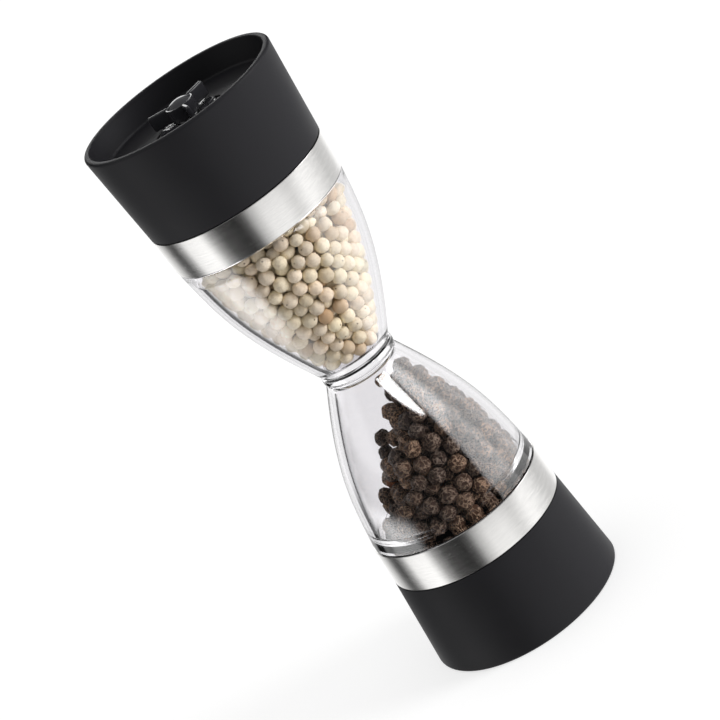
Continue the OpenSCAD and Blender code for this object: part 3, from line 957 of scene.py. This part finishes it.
class MILL_OT_black_corns(bpy.types.Operator):
    """Heap black peppercorns against one wall of the lower bell"""

    bl_idname = "mill.black_corns"
    bl_label = "Black peppercorns"

    def execute(self, context):
        corns = context.scene.mill_corns
        colours = context.scene.mill_colours
        chamber = Chamber(BellShape(context.scene.mill_sizes), "black_peppercorns")
        rng = np.random.default_rng(corns.seed + 1)
        radius = corns.black_size / 2
        into = np.array([math.cos(HEAP_SLOPE), 0.0, math.sin(HEAP_SLOPE)])
        edge = np.array([HEAP_TOP[0], 0.0, chamber.floor + HEAP_TOP[1]])

        def in_heap(x, y, z):
            return np.dot(np.array([x, y, z]) - edge, into) > HEAP_INSET * radius

        tries = spread_balls(np.random.default_rng(3), chamber, HEAP_TRIES, anywhere)
        share = np.mean([in_heap(*p) for p in tries])
        balls, sizes = settled(corns, chamber, rng, radius, share, in_heap, into * 0.03 * MM)
        material = black_pepper(colours.black_corn, colours.black_fold, colours.red_corn)
        corn_piece("black_pepper_heap", "lower", balls, sizes, rng, 0.16, 0.05, material,
                   "black_peppercorns")
        return {"FINISHED"}


# ---- Pieces that keep their own shape ----

class MILL_OT_inner_parts(bpy.types.Operator):
    """Finish the parts inside the heads and rebuild the springs in steel"""

    bl_idname = "mill.inner_parts"
    bl_label = "Inner parts"

    def execute(self, context):
        colours = context.scene.mill_colours
        black = satin_plastic("collar_black", colours.collar_black, 0.32, 0.46)
        steel = plain_steel()
        rubber = silicone(colours.silicone)
        finishes = {"collar": black, "feed_bridge": black, "cup_clip": black, "seal": rubber,
                    "spindle": steel, "thrust_washer": steel}
        for side in SIDES:
            for part, material in finishes.items():
                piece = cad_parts[f"{side}_{part}"]
                piece.data.materials.clear()
                piece.data.materials.append(material)
            self.spring(side, steel)
        return {"FINISHED"}

    def spring(self, side, material):
        """The coil spring, rebuilt from its part's mesh and finished in steel."""
        node = f"{side}_spring"
        bm = bmesh.new()
        bm.from_mesh(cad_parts[node].data)
        bmesh.ops.transform(bm, matrix=side_matrix(side).inverted(), verts=bm.verts)
        bmesh.ops.remove_doubles(bm, verts=bm.verts, dist=MERGE)
        bmesh.ops.recalc_face_normals(bm, faces=bm.faces)
        piece = finished(bm, f"{side}_coil_spring", side, material, None, [node])
        ends = [corner[2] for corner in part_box(node)]
        if side == "lower":
            ends.reverse()
        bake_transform(piece)


# ---- Stage ----

class Studio(Nodes):
    """World nodes that know the azimuth and the elevation of what a ray sees, in degrees."""

    def __init__(self, tree):
        super().__init__(tree)
        where = self.node("TexCoord")
        parts = self.node("SeparateXYZ")
        self.link(where.outputs["Generated"], parts.inputs["Vector"])
        x, y, z = parts.outputs
        turn = self.math("ARCTAN2", x, self.math("MULTIPLY", y, -1.0))
        self.azimuth = self.math("MULTIPLY", turn, 180 / math.pi)
        self.elevation = self.math("MULTIPLY", self.math("ARCSINE", z), 180 / math.pi)

    def blend(self, share, first, second):
        return self.math("MULTIPLY_ADD", share, self.math("SUBTRACT", second, first), first)

    def step(self, value, start, end, low=0.0, high=1.0):
        return self.spread(value, low, high, start, end, "SMOOTHSTEP")

    def window(self, value, start, end, soft):
        return self.math("SUBTRACT", self.step(value, start - soft, start + soft),
                         self.step(value, end - soft, end + soft))

    def cards(self, shown, total):
        """Sum of a base level and the cards of one list."""
        for left, right, low, high, soft, first, last in shown:
            across = self.window(self.azimuth, left, right, soft)
            level = self.spread(self.azimuth, first, last, left, right)
            height = self.window(self.elevation, low, high, CARD_SOFTNESS)
            total = self.math("MULTIPLY_ADD", self.math("MULTIPLY", across, height), level, total)
        return total

    def wedge(self, left, slant, right, low, high, level):
        """A card whose left side slants to the right on its way down."""
        drop = self.math("SUBTRACT", self.elevation, high)
        side = self.math("SUBTRACT", self.azimuth, self.math("MULTIPLY_ADD", drop, -slant, left))
        across = self.math("MULTIPLY", self.step(side, -1.0, 1.0),
                           self.step(self.azimuth, right - 1.0, right + 1.0, 1.0, 0.0))
        height = self.window(self.elevation, low, high, 1.0)
        return self.math("MULTIPLY", self.math("MULTIPLY", across, height), level)


def sun(name, place, strength, spread):
    """Far lamp that shines from a place towards the mill; no polished surface shows it."""
    lamp = bpy.data.lights.new(name, "SUN")
    lamp.energy = strength
    lamp.angle = math.radians(spread)
    light = bpy.data.objects.new(name, lamp)
    light.rotation_euler = Vector(place).to_track_quat("Z", "Y").to_euler()
    light.visible_glossy = light.visible_transmission = False
    bpy.context.scene.collection.objects.link(light)


class MILL_OT_stage(bpy.types.Operator):
    """Set the camera, the soft lamps, the pale floor and the white surroundings"""

    bl_idname = "mill.stage"
    bl_label = "Stage"

    def execute(self, context):
        scene = context.scene
        scene.view_settings.view_transform = "Standard"
        self.camera(scene)
        self.floor()
        self.world(scene)
        for lamp in LAMPS:
            sun(*lamp)
        return {"FINISHED"}

    def camera(self, scene):
        data = bpy.data.cameras.new("camera")
        data.lens = CAMERA_LENS
        data.shift_x, data.shift_y = CAMERA_SHIFT
        data.clip_start, data.clip_end = CAMERA_CLIP
        camera = bpy.data.objects.new("camera", data)
        rise, run = math.sin(CAMERA_ELEVATION), math.cos(CAMERA_ELEVATION)
        level = Matrix(((1, 0, 0), (0, rise, -run), (0, run, rise))).to_4x4()
        away = level.col[2].to_3d() * CAMERA_DISTANCE
        camera.matrix_world = (Matrix.Translation(Vector((0, 0, HALF)) + away) @ level
                               @ Matrix.Rotation(-CAMERA_ROLL, 4, "Z"))
        scene.collection.objects.link(camera)
        scene.camera = camera

    def floor(self):
        bm = bmesh.new()
        bmesh.ops.create_grid(bm, x_segments=1, y_segments=1, size=FLOOR_SIZE)
        floor = object_of(bm, "floor", stage_floor())
        floor.visible_glossy = floor.visible_transmission = False

    def world(self, scene):
        """White all round for the eye; polished surfaces see the cards of a studio."""
        world = bpy.data.worlds.new("studio")
        world.use_nodes = True
        world.cycles.sampling_method = "NONE"
        scene.world = world
        world.node_tree.nodes.clear()
        studio = Studio(world.node_tree)

        places = ((degrees / 360 + 0.5, level) for degrees, level in STUDIO_RING)
        ring = studio.ramp(studio.math("MULTIPLY_ADD", studio.azimuth, 1 / 360, 0.5), *places)
        band = studio.window(studio.elevation, *RING_HEIGHT, CARD_SOFTNESS)
        satin = studio.cards(SATIN_CARDS, studio.math("MULTIPLY", ring, band))
        polished = studio.cards(GLASS_CARDS, studio.wedge(*GLASS_WEDGE))
        polished = studio.math("ADD", polished, STUDIO_DARK)

        path = studio.node("LightPath").outputs
        unreflected = studio.math("LESS_THAN", path["Glossy Depth"], 0.5)
        turned_away = studio.math("ABSOLUTE", studio.azimuth)
        backdrop = studio.math("GREATER_THAN", turned_away, BACKDROP_EDGE)
        through = studio.math("MULTIPLY", path["Is Transmission Ray"],
                              studio.math("MAXIMUM", unreflected, backdrop))
        polished = studio.blend(through, polished, 1.0)
        shown = studio.blend(path["Is Singular Ray"], satin, polished)
        shown = studio.blend(path["Is Camera Ray"], shown, 1.0)
        direct = studio.math("LESS_THAN", path["Diffuse Depth"], 0.5)
        spread_light = studio.step(studio.elevation, *SKY_FADE, *SKY_LIGHT)
        background = studio.node("Background")
        studio.feed((1.0, 1.0, 1.0), background.inputs["Color"])
        studio.link(studio.blend(direct, spread_light, shown), background.inputs["Strength"])
        output = studio.node("OutputWorld")
        studio.link(background.outputs["Background"], output.inputs["Surface"])


# Lamps: name, direction in which it stands, strength, and spread in degrees
LAMPS = (("key_lamp", (0.92, -0.40, 0.18), 3.4, 30.0), ("top_lamp", (-0.10, 0.15, 1.00), 0.7, 40.0))
# The studio, with directions in degrees: azimuth from the camera's side, positive to the right, and
# elevation above the horizon. Its spread light fades from the horizon up to the ceiling.
SKY_FADE = (10.0, 50.0)
SKY_LIGHT = (0.90, 0.30)
STUDIO_DARK = 0.04
BACKDROP_EDGE = 147.0
CARD_SOFTNESS = 3.0  # of a card's lower and upper edges
# What satin surfaces mirror round the mill, as (azimuth, brightness), and the heights that it spans
RING_HEIGHT = (-75.0, -4.0)
STUDIO_RING = ((-180, 1.3), (-160, 1.1), (-142, 0.7), (-128, 0.15), (-118, 0.05), (-106, 0.45),
               (-98, 1.2), (-72, 1.4), (-60, 0.4), (-48, 0.08), (-24, 0.03), (-14, 0.12), (-6, 0.6),
               (8, 1.1), (30, 1.15), (48, 0.88), (68, 1.3), (90, 1), (112, 0.72), (136, 0.8),
               (152, 1.2), (180, 1.3))
# Cards: left, right, low, high, softness of the sides, brightness at the left and at the right.
# Satin surfaces see the first list, polished clear plastic the second.
SATIN_CARDS = (
    (70, 106, 4, 42, 4, 3.5, 3.5),
    (-112, -70, 4, 38, 4, 0.8, 0.8),
    (167, 182, 10, 27, 5, 3, 3),
    (-182, -167, 10, 27, 5, 3, 3),
    (-182, 182, 30, 92, 4, 0.4, 0.4),
)
GLASS_CARDS = (
    (48, 84, -24, 36, 2, 3, 4.5),
    (50, 80, 12, 36, 4, 3, 3),
    (84, 122, -24, 36, 2, 2.8, 1.9),
    (122, 147, -24, 36, 2, 0.85, 0.85),
    (-108, -66, -39, -9, 8, 3.8, 5.4),
    (-108, -66, -47, -39, 8, 3, 3.8),
    (-124, -66, -60, -47, 6, 0.8, 1.4),
    (-128, -106, -47, -9, 4, 1.2, 1.2),
    (-148, -140, -13, 62, 2, 0.9, 0.9),
    (-142, -66, 7, 62, 4, 0.9, 0.9),
    (50, 118, -60, -24, 8, 2.4, 1.9),
    (118, 147, -60, -24, 4, 0.9, 0.9),
    (-182, -147, -90, 60, 2, 0.7, 0.7),
    (147, 182, -90, 60, 2, 0.7, 0.7),
    (-147, 147, -95, -78, 2, 0.9, 0.9),
    (-147, 147, 62, 95, 2, 0.5, 0.5),
)
# Left side at the top and its slant, right side, low, high and brightness of the slanted card
GLASS_WEDGE = (8.0, 2.2, 42.0, 21.0, 35.0, 22.0)


class MILL_PT_panel(bpy.types.Panel):
    """Lists the steps that build the mill"""

    bl_idname = "MILL_PT_panel"
    bl_label = "Pepper mill"
    bl_space_type = "VIEW_3D"
    bl_region_type = "UI"
    bl_category = "Pepper mill"

    def draw(self, context):
        for operator in OPERATORS:
            self.layout.operator(operator.bl_idname)
        for group in GROUPS:
            settings = getattr(context.scene, group)
            for name in settings.__annotations__:
                self.layout.prop(settings, name)


OPERATORS = (
    MILL_OT_stage,
    MILL_OT_clear_bells,
    MILL_OT_white_corns,
    MILL_OT_black_corns,
    MILL_OT_steel_bands,
    MILL_OT_cups,
    MILL_OT_knobs,
    MILL_OT_burrs,
    MILL_OT_inner_parts,
)
GROUPS = {"mill_sizes": MillSizes, "mill_colours": MillColours, "mill_corns": CornSizes}
CLASSES = (*GROUPS.values(), *OPERATORS, MILL_PT_panel)


def register():
    for kind in CLASSES:
        bpy.utils.register_class(kind)
    for name, kind in GROUPS.items():
        setattr(bpy.types.Scene, name, PointerProperty(type=kind))


def unregister():
    for name in GROUPS:
        delattr(bpy.types.Scene, name)
    for kind in reversed(CLASSES):
        bpy.utils.unregister_class(kind)


def main():
    register()
    for operator in OPERATORS:
        space, name = operator.bl_idname.split(".")
        getattr(getattr(bpy.ops, space), name)()


if __name__ == "__main__":
    main()
